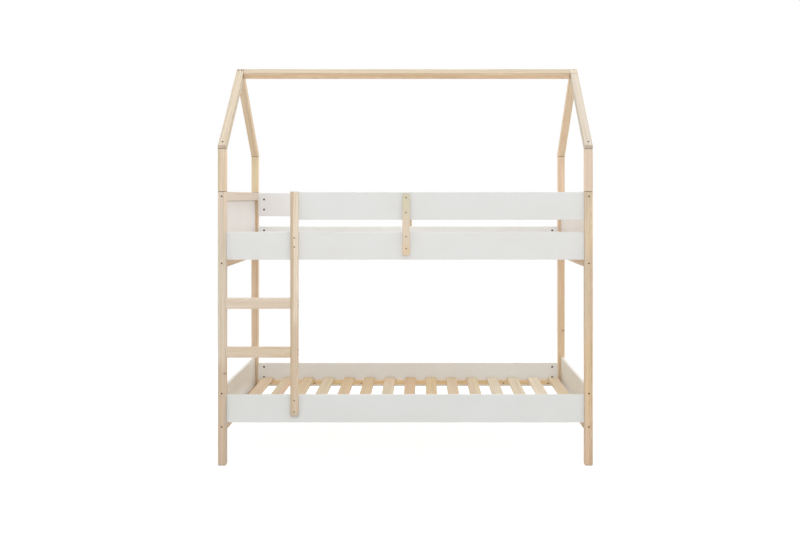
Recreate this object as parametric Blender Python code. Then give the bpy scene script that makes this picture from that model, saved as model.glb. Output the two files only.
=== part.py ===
"""House-shaped bunk bed of pine and white boards, for two mattresses of 0.90 by 2.00 m.

Metres, +Z up. The origin lies on the floor in the middle of the footprint. The ladder side faces -Y and
+X is to the right of someone who stands in front of it.
"""

import math

import bmesh
import bpy
from mathutils import Vector

# Frame
BED_LENGTH = 2.070  # over the outer sides of the posts
BED_DEPTH = 0.986  # over the front and back faces of the posts
STOCK = 0.044  # side of the square section of posts, rafters, ridge and bottom rails
STOCK_ROUND = 0.0035  # rounding of the long edges of that stock
END_CHAMFER = 0.0015  # chamfer round the ends of the posts, which shows as a groove at the joints
FOOT_CHAMFER = 0.003  # chamfer under the feet
FIT = 0.0003  # gap between pieces that touch
ROOF_POST_HEIGHT = 0.238
ROOF_ANGLE = math.radians(45)

# White boards
BOARD_HEIGHT = 0.154
BOARD_THICKNESS = 0.018
BOARD_ROUND = 0.0025
LOWER_RAIL_BOTTOM = 0.233  # above the floor
BUNK_RISE = 0.902  # from the lower bunk's boards to the upper bunk's
GUARD_GAP = 0.067  # clear height between the upper side rail and the guard
POST_RISE = 0.002  # from the guard's top to the post's top

# Ends of the bunks
END_TOP_RAIL_HEIGHT = 0.052
END_RAIL_LIFT = 0.003  # top of a bottom rail over the bottom of the side rails
END_PANEL_RECESS = 0.018  # inner face of a panel behind the inner sides of the posts
END_PANEL_THICKNESS = 0.018
LOWER_PANEL_HEIGHT = 0.189

# Ladder and battens
LADDER_THICKNESS = 0.0197
LADDER_CLEAR_WIDTH = 0.356  # between the left front post and the stile
STILE_WIDTH = 0.044
STILE_FOOT_LIFT = 0.037  # foot of the stile over the bottom of the lower side rail
STILE_END_ROUND = 0.008
RUNG_HEIGHT = 0.060
RUNG_PITCH = 0.270  # counted down from the bottom of the upper side rail
RUNG_ROUND = 0.003
BATTEN_WIDTH = 0.040
BATTEN_OFFSET = 0.004  # to the right of the middle of the bed
BATTEN_LOW_LIFT = 0.025  # over the bottom of the upper side rail
BATTEN_HIGH_DROP = 0.009  # under the top of the guard
BATTEN_END_ROUND = 0.008
FACE_ROUND = 0.002  # soft front edges of stile and battens

# Slatted bases
LEDGER_HEIGHT = 0.033
LEDGER_THICKNESS = 0.025
LEDGER_LIFT = 0.008  # over the bottom of the side rails
LEDGER_ROUND = 0.002
SLAT_COUNT = 15
SLAT_WIDTH = 0.068
SLAT_THICKNESS = 0.018
SLAT_ROUND = 0.003
SLAT_END_GAP = 0.003  # between a slat's end and the side rail
SLATS_LEFT_GAP = 0.034  # from the left bottom rail to the first slat
SLATS_RIGHT_GAP = 0.002  # from the last slat to the right bottom rail
WEBBING_WIDTH = 0.022
WEBBING_THICKNESS = 0.0015
WEBBING_INSET = 0.150  # middle of a band from the slats' ends
WEBBING_SINK = 0.0004  # how far the upper base's bands reach into its slats

# Fasteners
BOLT_HOLE_DIAMETER = 0.008
BOLT_HOLE_DEPTH = 0.010
NUT_HOLE_DIAMETER = 0.010
NUT_HOLE_DEPTH = 0.013
NUT_INSET = 0.0385  # from the board's end
NUT_SPACING = 0.067
RAIL_NUT_LIFT = 0.017  # raises a side rail's pair of nuts, to clear the ledger
PANEL_BOLT_DROP = 0.027  # under the top of the lower end panel
SCREW_HOLE_DIAMETER = 0.007
SCREW_HOLE_DEPTH = 0.003
STILE_SCREW_RAIL_LIFTS = (0.0715, 0.1215)  # over the bottom of the upper side rail
STILE_SCREW_FOOT_LIFTS = (0.063, 0.1257)  # over the bottom of the lower side rail
BATTEN_SCREW_RAIL_LIFTS = (0.063, 0.129)  # over the bottom of the upper side rail
BATTEN_SCREW_GUARD_DROPS = (0.031, 0.113)  # under the top of the guard
RAFTER_SCREW_INSET = 0.020  # behind the outer face of the post
APEX_SCREW_DROP = 0.013  # down the slope from the apex
APEX_SCREW_SPACING = 0.021
RUNG_SCREW_SPACING = 0.026
RUNG_SCREW_HEAD_DIAMETER = 0.009
RUNG_SCREW_HEAD_HEIGHT = 0.0026
RUNG_SCREW_SHANK_DIAMETER = 0.0045
RUNG_SCREW_REACH = 0.030  # how far the shank goes into the rung
SCREW_CLEARANCE = 0.0004  # round the shank

ROOF_TENON_DIAMETER = 0.016
ROOF_TENON_LENGTH = 0.040
TENON_CLEARANCE = 0.0003  # round the tenon and under its end

# Meshing
OVERRUN = 0.002  # how far a cutter starts outside the face that it cuts
EDGE_STEPS = 3
END_ROUND_STEPS = 4
HOLE_SIDES = 12
HEAD_RINGS = 3
SMOOTH_ANGLE = math.radians(40)

# Finishes: colour, roughness, metallic
PINE = ((0.72, 0.56, 0.41), 0.55, 0.0)
PINE_PALE = ((0.78, 0.66, 0.52), 0.55, 0.0)
PINE_WARM = ((0.70, 0.50, 0.33), 0.55, 0.0)
WHITE = ((0.78, 0.78, 0.75), 0.35, 0.0)
STEEL = ((0.45, 0.44, 0.42), 0.35, 1.0)
WEBBING = ((0.75, 0.73, 0.68), 0.9, 0.0)

# Places worked out from the sizes above
SIDE_X = BED_LENGTH / 2
FACE_Y = BED_DEPTH / 2
INNER_X = SIDE_X - STOCK
INNER_Y = FACE_Y - STOCK
POST_X = SIDE_X - STOCK / 2
POST_Y = FACE_Y - STOCK / 2
UPPER_RAIL_BOTTOM = LOWER_RAIL_BOTTOM + BUNK_RISE
GUARD_BOTTOM = UPPER_RAIL_BOTTOM + BOARD_HEIGHT + GUARD_GAP
GUARD_TOP = GUARD_BOTTOM + BOARD_HEIGHT
POST_TOP = GUARD_TOP + POST_RISE
ROOF_SEAT = POST_TOP + ROOF_POST_HEIGHT
BOARD_OUTER_Y = FACE_Y - LADDER_THICKNESS - FIT
BOARD_INNER_Y = BOARD_OUTER_Y - BOARD_THICKNESS
BOARD_Y = (BOARD_OUTER_Y + BOARD_INNER_Y) / 2
LADDER_Y = FACE_Y - LADDER_THICKNESS / 2
STILE_LEFT = -INNER_X + LADDER_CLEAR_WIDTH
STILE_RIGHT = STILE_LEFT + STILE_WIDTH
PANEL_X = INNER_X + END_PANEL_RECESS + END_PANEL_THICKNESS / 2
NUT_HALF = NUT_SPACING / 2
RAIL_NUT_HEIGHTS = [BOARD_HEIGHT / 2 + RAIL_NUT_LIFT + turn * NUT_HALF for turn in (1, -1)]
GUARD_NUT_HEIGHTS = [BOARD_HEIGHT / 2 + turn * NUT_HALF for turn in (1, -1)]

SIDES = (("left", -1), ("right", 1))
FACES = (("front", -1), ("back", 1))
AXES = {"x": Vector((1, 0, 0)), "y": Vector((0, 1, 0)), "z": Vector((0, 0, 1))}


def clear_scene():
    for thing in list(bpy.data.objects):
        bpy.data.objects.remove(thing)


def finish_of(piece, finish):
    """Gives the piece a material of its own with this colour, roughness and metallic value."""
    colour, roughness, metallic = finish
    surface = bpy.data.materials.new(piece.name)
    surface.use_nodes = True
    shader = surface.node_tree.nodes["Principled BSDF"]
    shader.inputs["Base Color"].default_value = (*colour, 1)
    shader.inputs["Roughness"].default_value = roughness
    shader.inputs["Metallic"].default_value = metallic
    surface.diffuse_color = (*colour, 1)
    piece.data.materials.append(surface)


def add_object(name, shape, place, finish=None):
    """Turns a bmesh into an object at this place. Without a finish it is a helper that doesn't render."""
    mesh = bpy.data.meshes.new(name)
    bmesh.ops.recalc_face_normals(shape, faces=shape.faces)
    shape.to_mesh(mesh)
    shape.free()
    mesh.shade_smooth()
    mesh.set_sharp_from_angle(angle=SMOOTH_ANGLE)
    piece = bpy.data.objects.new(name, mesh)
    piece.location = place
    bpy.context.scene.collection.objects.link(piece)
    if finish is None:
        piece.hide_render = True
        piece.display_type = "WIRE"
    else:
        finish_of(piece, finish)
    return piece


def box_shape(low, high):
    """A bmesh box between two corners."""
    shape = bmesh.new()
    bmesh.ops.create_cube(shape, size=1)
    middle = (low + high) / 2
    for corner in shape.verts:
        corner.co = Vector(middle[i] + corner.co[i] * (high[i] - low[i]) for i in range(3))
    return shape


def runs_along(edge, direction):
    return abs((edge.verts[1].co - edge.verts[0].co).normalized().dot(direction)) > math.cos(SMOOTH_ANGLE)


def lies_at(edge, direction, reach):
    """Whether both ends of the edge are as far along the direction as reach."""
    return all(abs(corner.co.dot(direction) - reach) < FIT / 2 for corner in edge.verts)


def soften(shape, edges, width, steps=EDGE_STEPS):
    bmesh.ops.bevel(
        shape, geom=list(edges), offset=width, segments=steps, profile=0.5, affect="EDGES", clamp_overlap=True
    )


def soften_long_edges(shape, direction, width):
    soften(shape, [edge for edge in shape.edges if runs_along(edge, direction)], width)


def soften_end(shape, direction, width):
    """Chamfers the rim of the end that lies furthest along the direction."""
    reach = max(corner.co.dot(direction) for corner in shape.verts)
    soften(shape, [edge for edge in shape.edges if lies_at(edge, direction, reach)], width, steps=1)


def stick(name, low, high, along, width, finish):
    """A straight piece between two corners, its long edges rounded."""
    low, high = Vector(low), Vector(high)
    middle = (low + high) / 2
    shape = box_shape(low - middle, high - middle)
    soften_long_edges(shape, AXES[along], width)
    return add_object(name, shape, middle, finish)


def drill_shape(shape, mouth, inward, diameter, depth):
    """Adds to the shape a rod that starts outside the mouth and goes this deep."""
    inward = Vector(inward).normalized()
    turned = inward.to_track_quat("Z", "Y").to_matrix().to_4x4()
    length = depth + OVERRUN
    turned.translation = Vector(mouth) + inward * (length / 2 - OVERRUN)
    bmesh.ops.create_cone(
        shape,
        cap_ends=True,
        segments=HOLE_SIDES,
        radius1=diameter / 2,
        radius2=diameter / 2,
        depth=length,
        matrix=turned,
    )


def combine(piece, name, other, operation):
    change = piece.modifiers.new(name, "BOOLEAN")
    change.operation = operation
    change.solver = "EXACT"
    change.object = other


def drill(piece, holes):
    """Cuts round holes, each given by its mouth, direction, diameter and depth."""
    shape = bmesh.new()
    for mouth, inward, diameter, depth in holes:
        drill_shape(shape, mouth, inward, diameter, depth)
    cutter = add_object(piece.name + "_drill", shape, (0, 0, 0))
    combine(piece, "holes", cutter, "DIFFERENCE")


def bolt_hole(mouth, inward):
    return mouth, inward, BOLT_HOLE_DIAMETER, BOLT_HOLE_DEPTH


def screw_hole(mouth, inward):
    return mouth, inward, SCREW_HOLE_DIAMETER, SCREW_HOLE_DEPTH


def post_bolt_holes(side, face):
    """Bolt holes of one post: those of the end rails and panel, then those of the long boards."""
    x, y = side * POST_X, face * FACE_Y
    end_heights = (
        POST_TOP - END_TOP_RAIL_HEIGHT / 2,
        UPPER_RAIL_BOTTOM + END_RAIL_LIFT - STOCK / 2,
        LOWER_RAIL_BOTTOM + END_RAIL_LIFT + LOWER_PANEL_HEIGHT - PANEL_BOLT_DROP,
        LOWER_RAIL_BOTTOM + END_RAIL_LIFT - STOCK / 2,
    )
    holes = [bolt_hole((x, y, height), (0, -face, 0)) for height in end_heights]
    board_heights = [LOWER_RAIL_BOTTOM + height for height in RAIL_NUT_HEIGHTS]
    board_heights += [UPPER_RAIL_BOTTOM + height for height in RAIL_NUT_HEIGHTS]
    if (side, face) != (-1, -1):
        board_heights += [GUARD_BOTTOM + height for height in GUARD_NUT_HEIGHTS]
    x, y = side * SIDE_X, face * BOARD_Y
    return holes + [bolt_hole((x, y, height), (-side, 0, 0)) for height in board_heights]


def upright(name, side, face, bottom, top, foot, finish):
    """A square post between two heights, chamfered at both ends."""
    half = Vector((STOCK / 2, STOCK / 2, (top - bottom) / 2))
    shape = box_shape(-half, half)
    soften_long_edges(shape, AXES["z"], STOCK_ROUND)
    soften_end(shape, AXES["z"], END_CHAMFER)
    soften_end(shape, -AXES["z"], foot)
    return add_object(name, shape, (side * POST_X, face * POST_Y, (bottom + top) / 2), finish)


def add_post(corner, side, face):
    """A main post and the roof post on it, whose round tenon plugs into the main post's top."""
    post = upright(f"post_{corner}", side, face, 0, POST_TOP, FOOT_CHAMFER, PINE)
    top = Vector((side * POST_X, face * POST_Y, POST_TOP))
    bore = ROOF_TENON_DIAMETER + 2 * TENON_CLEARANCE
    tenon_hole = (top, -AXES["z"], bore, ROOF_TENON_LENGTH + TENON_CLEARANCE)
    drill(post, [*post_bolt_holes(side, face), tenon_hole])
    roof_post = upright(f"roof_post_{corner}", side, face, POST_TOP + FIT, ROOF_SEAT, END_CHAMFER, PINE_PALE)
    shape = bmesh.new()
    drill_shape(shape, top + AXES["z"] * FIT, -AXES["z"], ROOF_TENON_DIAMETER, ROOF_TENON_LENGTH)
    tenon = add_object(roof_post.name + "_tenon", shape, (0, 0, 0))
    combine(roof_post, "tenon", tenon, "UNION")


def add_posts():
    for side_name, side in SIDES:
        for face_name, face in FACES:
            add_post(f"{face_name}_{side_name}", side, face)


def roof_point(inward, drop):
    """A point of one roof slope as (distance from the middle plane, height).

    inward is measured level from the outer face of the posts, drop square down from the upper face.
    """
    plumb = STOCK / math.cos(ROOF_ANGLE) - STOCK * math.tan(ROOF_ANGLE)
    height = ROOF_SEAT + FIT + plumb + inward * math.tan(ROOF_ANGLE) - drop / math.cos(ROOF_ANGLE)
    return FACE_Y - inward, height


def roof_meeting(own_drop, other_drop):
    """Where a line at own_drop under one slope meets the line at other_drop under the other slope."""
    shift = (other_drop - own_drop) / (2 * math.sin(ROOF_ANGLE))
    away, height = roof_point(FACE_Y, own_drop)
    return away + shift, height - shift * math.tan(ROOF_ANGLE)


def rafter_outline(runs_through):
    """Side view of a rafter as (distance from the middle plane, height), from its foot to the apex."""
    seat = ROOF_SEAT + FIT
    low_meeting = 0 if runs_through else STOCK + FIT
    return [
        (INNER_Y, seat),
        (FACE_Y, seat),
        roof_point(0, 0),
        roof_meeting(0, low_meeting),
        roof_meeting(STOCK, low_meeting),
    ]


def add_rafter(side_name, side, face_name, face):
    # At the left gable the front rafter runs through to the apex, at the right gable the back one.
    runs_through = side == face
    outline = rafter_outline(runs_through)
    middle = Vector((side * POST_X, face * (FACE_Y + INNER_Y) / 2, ROOF_SEAT))
    shape = bmesh.new()
    rings = []
    for across in (-STOCK / 2, STOCK / 2):
        ring = [Vector((across, face * away - middle.y, height - middle.z)) for away, height in outline]
        rings.append([shape.verts.new(point) for point in ring])
        shape.faces.new(rings[-1])
    for i in range(len(outline)):
        shape.faces.new((rings[0][i - 1], rings[0][i], rings[1][i], rings[1][i - 1]))
    slope = Vector((0, -face * math.cos(ROOF_ANGLE), math.sin(ROOF_ANGLE)))
    soften_long_edges(shape, slope, STOCK_ROUND)
    rafter = add_object(f"rafter_{face_name}_{side_name}", shape, middle, PINE_PALE)
    down = Vector((0, -face * math.sin(ROOF_ANGLE), -math.cos(ROOF_ANGLE)))
    away, height = roof_point(RAFTER_SCREW_INSET, 0)
    holes = [screw_hole((side * POST_X, face * away, height), down)]
    if runs_through:
        apex = Vector((side * POST_X, 0, roof_point(FACE_Y, 0)[1]))
        for turn in (-1, 1):
            across = AXES["x"] * turn * APEX_SCREW_SPACING / 2
            holes.append(screw_hole(apex + across - slope * APEX_SCREW_DROP, down))
        ridge_height = roof_meeting(STOCK / 2, STOCK / 2)[1]
        holes.append(bolt_hole((side * SIDE_X, 0, ridge_height), (-side, 0, 0)))
    drill(rafter, holes)


def add_roof():
    for side_name, side in SIDES:
        for face_name, face in FACES:
            add_rafter(side_name, side, face_name, face)
    # The ridge lies on its corner, its two upper faces in the planes of the roof.
    corners = [roof_meeting(0, 0), roof_meeting(STOCK, 0), roof_meeting(STOCK, STOCK), roof_meeting(0, STOCK)]
    middle = Vector((0, 0, roof_meeting(STOCK / 2, STOCK / 2)[1]))
    shape = bmesh.new()
    rings = []
    for reach in (-INNER_X + FIT, INNER_X - FIT):
        rings.append([shape.verts.new((reach, away, height - middle.z)) for away, height in corners])
        shape.faces.new(rings[-1])
    for i in range(len(corners)):
        shape.faces.new((rings[0][i - 1], rings[0][i], rings[1][i], rings[1][i - 1]))
    soften_long_edges(shape, AXES["x"], STOCK_ROUND)
    add_object("ridge_beam", shape, middle, PINE)


def end_piece(name, middle, thickness, bottom, top, rounding, finish):
    """A rail or panel that runs from the front post to the back post, round the middle X."""
    reach = INNER_Y - FIT
    low = (middle - thickness / 2, -reach, bottom)
    high = (middle + thickness / 2, reach, top)
    stick(name, low, high, "y", rounding, finish)


def add_ends():
    top_rail_bottom = POST_TOP - END_TOP_RAIL_HEIGHT
    upper_base = UPPER_RAIL_BOTTOM + END_RAIL_LIFT
    lower_base = LOWER_RAIL_BOTTOM + END_RAIL_LIFT
    rails = (
        ("end_top_rail", top_rail_bottom, POST_TOP),
        ("end_bottom_rail_upper", upper_base - STOCK, upper_base),
        ("end_bottom_rail_lower", lower_base - STOCK, lower_base),
    )
    panels = (
        ("end_panel_upper", upper_base + FIT, top_rail_bottom - FIT),
        ("end_panel_lower", lower_base + FIT, lower_base + LOWER_PANEL_HEIGHT),
    )
    for side_name, side in SIDES:
        for name, bottom, top in rails:
            end_piece(f"{name}_{side_name}", side * POST_X, STOCK, bottom, top, STOCK_ROUND, PINE)
        for name, bottom, top in panels:
            x = side * PANEL_X
            end_piece(f"{name}_{side_name}", x, END_PANEL_THICKNESS, bottom, top, BOARD_ROUND, WHITE)


def add_board(name, face, left, right, bottom, nut_heights, left_nuts=True):
    """A long white board on edge, with the barrel nuts' holes in its inner face."""
    front, back = sorted((face * BOARD_OUTER_Y, face * BOARD_INNER_Y))
    low = (left + FIT, front, bottom)
    high = (right - FIT, back, bottom + BOARD_HEIGHT)
    board = stick(name, low, high, "x", BOARD_ROUND, WHITE)
    places = [right - NUT_INSET]
    if left_nuts:
        places.append(left + NUT_INSET)
    holes = []
    for x in places:
        for height in nut_heights:
            mouth = (x, face * BOARD_INNER_Y, bottom + height)
            holes.append((mouth, (0, face, 0), NUT_HOLE_DIAMETER, NUT_HOLE_DEPTH))
    drill(board, holes)


def add_boards():
    for face_name, face in FACES:
        for bunk, bottom in (("lower", LOWER_RAIL_BOTTOM), ("upper", UPPER_RAIL_BOTTOM)):
            name = f"side_rail_{bunk}_{face_name}"
            add_board(name, face, -INNER_X, INNER_X, bottom, RAIL_NUT_HEIGHTS)
    # The front guard ends behind the stile, so that the ladder's way in stays open.
    add_board("guard_rail_front", -1, STILE_LEFT, INNER_X, GUARD_BOTTOM, GUARD_NUT_HEIGHTS, left_nuts=False)
    add_board("guard_rail_back", 1, -INNER_X, INNER_X, GUARD_BOTTOM, GUARD_NUT_HEIGHTS)


def upright_strip(name, face, left, right, bottom, top, end_round, rounded_ends, screw_heights):
    """A flat upright on the outer side of the boards, with rounded ends and screw holes in its face."""
    middle = Vector(((left + right) / 2, face * LADDER_Y, (bottom + top) / 2))
    half = Vector(((right - left) / 2, LADDER_THICKNESS / 2, (top - bottom) / 2))
    shape = box_shape(-half, half)
    for direction in rounded_ends:
        ends = [edge for edge in shape.edges if runs_along(edge, AXES["y"])]
        soften(shape, [edge for edge in ends if lies_at(edge, direction, half.z)], end_round, END_ROUND_STEPS)
    outward = AXES["y"] * face
    soften(shape, [edge for edge in shape.edges if lies_at(edge, outward, half.y)], FACE_ROUND)
    strip = add_object(name, shape, middle, PINE_PALE)
    holes = [screw_hole((middle.x, face * FACE_Y, height), -outward) for height in screw_heights]
    return strip, holes


def add_battens():
    middle = BATTEN_OFFSET
    left, right = middle - BATTEN_WIDTH / 2, middle + BATTEN_WIDTH / 2
    bottom, top = UPPER_RAIL_BOTTOM + BATTEN_LOW_LIFT, GUARD_TOP - BATTEN_HIGH_DROP
    heights = [UPPER_RAIL_BOTTOM + lift for lift in BATTEN_SCREW_RAIL_LIFTS]
    heights += [GUARD_TOP - drop for drop in BATTEN_SCREW_GUARD_DROPS]
    ends = (AXES["z"], -AXES["z"])
    for face_name, face in FACES:
        name = f"guard_batten_{face_name}"
        batten, holes = upright_strip(name, face, left, right, bottom, top, BATTEN_END_ROUND, ends, heights)
        drill(batten, holes)


def screw_heights_of(rung_bottom):
    """Heights of a rung's two screws, with their names."""
    middle = rung_bottom + RUNG_HEIGHT / 2
    return ("high", middle + RUNG_SCREW_SPACING / 2), ("low", middle - RUNG_SCREW_SPACING / 2)


def add_rung_screw(name, height):
    """A dome-headed screw along X, its head on the stile's right side."""
    shank = RUNG_SCREW_SHANK_DIAMETER / 2
    head = RUNG_SCREW_HEAD_DIAMETER / 2
    length = STILE_WIDTH + RUNG_SCREW_REACH
    profile = [(-length, 0), (-length, shank), (FIT, shank), (FIT, head)]
    for step in range(1, HEAD_RINGS + 1):
        turn = step / HEAD_RINGS * math.pi / 2
        profile.append((FIT + RUNG_SCREW_HEAD_HEIGHT * math.sin(turn), head * math.cos(turn)))
    profile[-1] = (FIT + RUNG_SCREW_HEAD_HEIGHT, 0)
    shape = bmesh.new()
    points = [shape.verts.new((reach, radius, 0)) for reach, radius in profile]
    edges = [shape.edges.new((points[i], points[i + 1])) for i in range(len(points) - 1)]
    bmesh.ops.spin(
        shape,
        geom=points + edges,
        cent=(0, 0, 0),
        axis=AXES["x"],
        angle=2 * math.pi,
        steps=HOLE_SIDES,
        use_merge=True,
    )
    bmesh.ops.remove_doubles(shape, verts=shape.verts, dist=FIT / 10)
    add_object(name, shape, (STILE_RIGHT, -LADDER_Y, height), STEEL)


def add_ladder():
    heights = [UPPER_RAIL_BOTTOM + lift for lift in STILE_SCREW_RAIL_LIFTS]
    heights += [LOWER_RAIL_BOTTOM + lift for lift in STILE_SCREW_FOOT_LIFTS]
    bottom = LOWER_RAIL_BOTTOM + STILE_FOOT_LIFT
    ends = (-AXES["z"],)
    name = "ladder_stile"
    stile, stile_holes = upright_strip(
        name, -1, STILE_LEFT, STILE_RIGHT, bottom, POST_TOP, STILE_END_ROUND, ends, heights
    )
    hole = RUNG_SCREW_SHANK_DIAMETER + 2 * SCREW_CLEARANCE
    for count, rung_name in ((1, "upper"), (2, "lower")):
        rung_bottom = UPPER_RAIL_BOTTOM - count * RUNG_PITCH
        low = (-INNER_X + FIT, -FACE_Y, rung_bottom)
        high = (STILE_LEFT - FIT, -FACE_Y + LADDER_THICKNESS, rung_bottom + RUNG_HEIGHT)
        rung = stick(f"ladder_rung_{rung_name}", low, high, "x", RUNG_ROUND, PINE_PALE)
        rung_holes = []
        for place, height in screw_heights_of(rung_bottom):
            stile_holes.append(((STILE_RIGHT, -LADDER_Y, height), (-1, 0, 0), hole, STILE_WIDTH + OVERRUN))
            mouth = (STILE_LEFT, -LADDER_Y, height)
            rung_holes.append((mouth, (-1, 0, 0), hole, RUNG_SCREW_REACH + OVERRUN))
            add_rung_screw(f"rung_screw_{rung_name}_{place}", height)
        drill(rung, rung_holes)
    drill(stile, stile_holes)


def slat_places():
    """Left edge of each slat."""
    first = -INNER_X + SLATS_LEFT_GAP
    last = INNER_X - SLATS_RIGHT_GAP - SLAT_WIDTH
    return [first + (last - first) * i / (SLAT_COUNT - 1) for i in range(SLAT_COUNT)]


def slat_corners(left, base):
    reach = BOARD_INNER_Y - SLAT_END_GAP
    return (left, -reach, base), (left + SLAT_WIDTH, reach, base + SLAT_THICKNESS)


def webbing_corners(face, top):
    middle = face * (BOARD_INNER_Y - SLAT_END_GAP - WEBBING_INSET)
    places = slat_places()
    low = (places[0], middle - WEBBING_WIDTH / 2, top - WEBBING_THICKNESS)
    return low, (places[-1] + SLAT_WIDTH, middle + WEBBING_WIDTH / 2, top)


def add_ledgers():
    for face_name, face in FACES:
        outer = BOARD_INNER_Y - FIT
        front, back = sorted((face * outer, face * (outer - LEDGER_THICKNESS)))
        for bunk, rail_bottom in (("lower", LOWER_RAIL_BOTTOM), ("upper", UPPER_RAIL_BOTTOM)):
            bottom = rail_bottom + LEDGER_LIFT
            low = (-INNER_X + FIT, front, bottom)
            high = (INNER_X - FIT, back, bottom + LEDGER_HEIGHT)
            stick(f"slat_ledger_{bunk}_{face_name}", low, high, "x", LEDGER_ROUND, PINE)


def add_lower_base():
    base = LOWER_RAIL_BOTTOM + LEDGER_LIFT + LEDGER_HEIGHT + FIT
    tones = (PINE, PINE_PALE, PINE_WARM, PINE_PALE)
    for count, left in enumerate(slat_places(), start=1):
        low, high = slat_corners(left, base)
        stick(f"lower_slat_{count:02d}", low, high, "y", SLAT_ROUND, tones[count % len(tones)])
    for face_name, face in FACES:
        low, high = webbing_corners(face, base - FIT)
        name = f"lower_slat_webbing_{face_name}"
        add_object(name, box_shape(Vector(low), Vector(high)), (0, 0, 0), WEBBING)


def add_upper_base():
    """Slats and webbing of the upper bunk as one piece: the bands reach a little into the slats."""
    base = UPPER_RAIL_BOTTOM + LEDGER_LIFT + LEDGER_HEIGHT + FIT
    slats = bmesh.new()
    for left in slat_places():
        low, high = slat_corners(left, base)
        slat = box_shape(Vector(low), Vector(high))
        soften_long_edges(slat, AXES["y"], SLAT_ROUND)
        loose = bpy.data.meshes.new("slat")
        slat.to_mesh(loose)
        slat.free()
        slats.from_mesh(loose)
        bpy.data.meshes.remove(loose)
    slat_helper = add_object("upper_slats", slats, (0, 0, 0))
    bands = []
    for _, face in FACES:
        low, high = webbing_corners(face, base + WEBBING_SINK)
        bands.append(box_shape(Vector(low), Vector(high)))
    band_helper = add_object("upper_webbing", bands[1], (0, 0, 0))
    joined = add_object("upper_slat_base", bands[0], (0, 0, 0), PINE_PALE)
    combine(joined, "slats", slat_helper, "UNION")
    combine(joined, "webbing", band_helper, "UNION")


def main():
    clear_scene()
    add_posts()
    add_roof()
    add_ends()
    add_boards()
    add_battens()
    add_ladder()
    add_ledgers()
    add_lower_base()
    add_upper_base()


main()
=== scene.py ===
"""Looks of the house-shaped bunk bed: pine, white lacquer, webbing, fasteners, light and camera.

Metres, +Z up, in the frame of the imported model. The ladder side faces -Y, and +X is to the right of it.
"""

import math

import bmesh
import bpy
from mathutils import Matrix, Vector


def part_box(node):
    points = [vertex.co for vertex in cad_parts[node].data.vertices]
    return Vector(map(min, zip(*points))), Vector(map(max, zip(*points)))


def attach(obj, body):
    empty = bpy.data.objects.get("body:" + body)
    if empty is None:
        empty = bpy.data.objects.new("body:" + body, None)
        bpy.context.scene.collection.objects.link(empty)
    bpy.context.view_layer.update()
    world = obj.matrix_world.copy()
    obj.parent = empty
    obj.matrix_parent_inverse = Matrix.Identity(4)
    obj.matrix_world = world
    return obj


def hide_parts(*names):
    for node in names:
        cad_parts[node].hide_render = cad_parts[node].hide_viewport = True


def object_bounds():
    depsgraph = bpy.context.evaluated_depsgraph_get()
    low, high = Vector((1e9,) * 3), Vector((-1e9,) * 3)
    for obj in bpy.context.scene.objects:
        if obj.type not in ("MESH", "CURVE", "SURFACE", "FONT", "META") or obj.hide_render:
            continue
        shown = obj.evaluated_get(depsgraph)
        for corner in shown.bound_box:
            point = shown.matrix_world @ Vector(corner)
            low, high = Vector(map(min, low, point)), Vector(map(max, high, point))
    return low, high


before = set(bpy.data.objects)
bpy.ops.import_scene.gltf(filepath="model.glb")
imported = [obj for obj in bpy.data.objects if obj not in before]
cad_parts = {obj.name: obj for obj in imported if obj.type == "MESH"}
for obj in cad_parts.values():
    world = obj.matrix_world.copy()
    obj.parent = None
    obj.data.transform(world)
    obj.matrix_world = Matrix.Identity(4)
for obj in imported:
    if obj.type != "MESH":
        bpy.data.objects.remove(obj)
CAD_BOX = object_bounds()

X, Y, Z = Vector((1, 0, 0)), Vector((0, 1, 0)), Vector((0, 0, 1))
SIDES = (("left", -1), ("right", 1))
FACES = (("front", -1), ("back", 1))

# Camera: the photograph's size and what was read from it, in its pixels and in metres
PHOTO_WIDTH, PHOTO_HEIGHT = 800, 533
FOCAL_PIXELS = 868.0
VANISHING_COLUMN, HORIZON_ROW = 422.0, 197.6
METRES_PER_PIXEL = 0.005516  # on the bed's front plane
CAMERA_X, CAMERA_HEIGHT = 0.092, 1.479
SENSOR_WIDTH = 36.0

# Pine: how its early wood, its warmer years and its late wood differ from its own tint, and its knots
EARLY, WARM, LATE = (1.05, 1.06, 1.08, 1), (0.98, 0.93, 0.86, 1), (0.80, 0.69, 0.55, 1)
KNOT_WOOD, KNOT_RIM = (0.36, 0.19, 0.10, 1), (0.13, 0.065, 0.04, 1)
PINE_ROUGHNESS = 0.50
PLUMB_CUT, SQUARE_CUT = (0.98, 0.89, 0.88, 1), (0.83, 0.93, 1.0, 1)  # of a rafter, against its faces; the plumb cut is darker end grain, and the square cut's greyer tint is painted shade, against the strong light on that face
JOINT_LINE, JOINT_SHADE = 0.0022, -0.52  # of the painted shadow lines in the joints between sticks: half width and change in shade
# painted contact shadow at the ridge beam's ends: where it starts and where it is full, in from each end, and
# its change in shade
RIDGE_END_LINE, RIDGE_END_SHADE = (0.0050, 0.0010), -0.45
THROUGH = {"left": "front", "right": "back"}  # the rafter of each gable that runs through at the apex

# Drilled holes, with painted shade: how deep and how far out from its middle each is dark, the dark fading
# over a rim beyond that
HOLE_DEPTH = 0.014
BOLT_HOLE, NUT_HOLE, SCREW_HOLE, ROOF_SCREW_HOLE = 0.0039, 0.0057, 0.0034, 0.0047
HOLE_EDGE = 0.0014
DRILLED_PINE = (0.050, 0.033, 0.020, 1)
HOLES = {}

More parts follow.
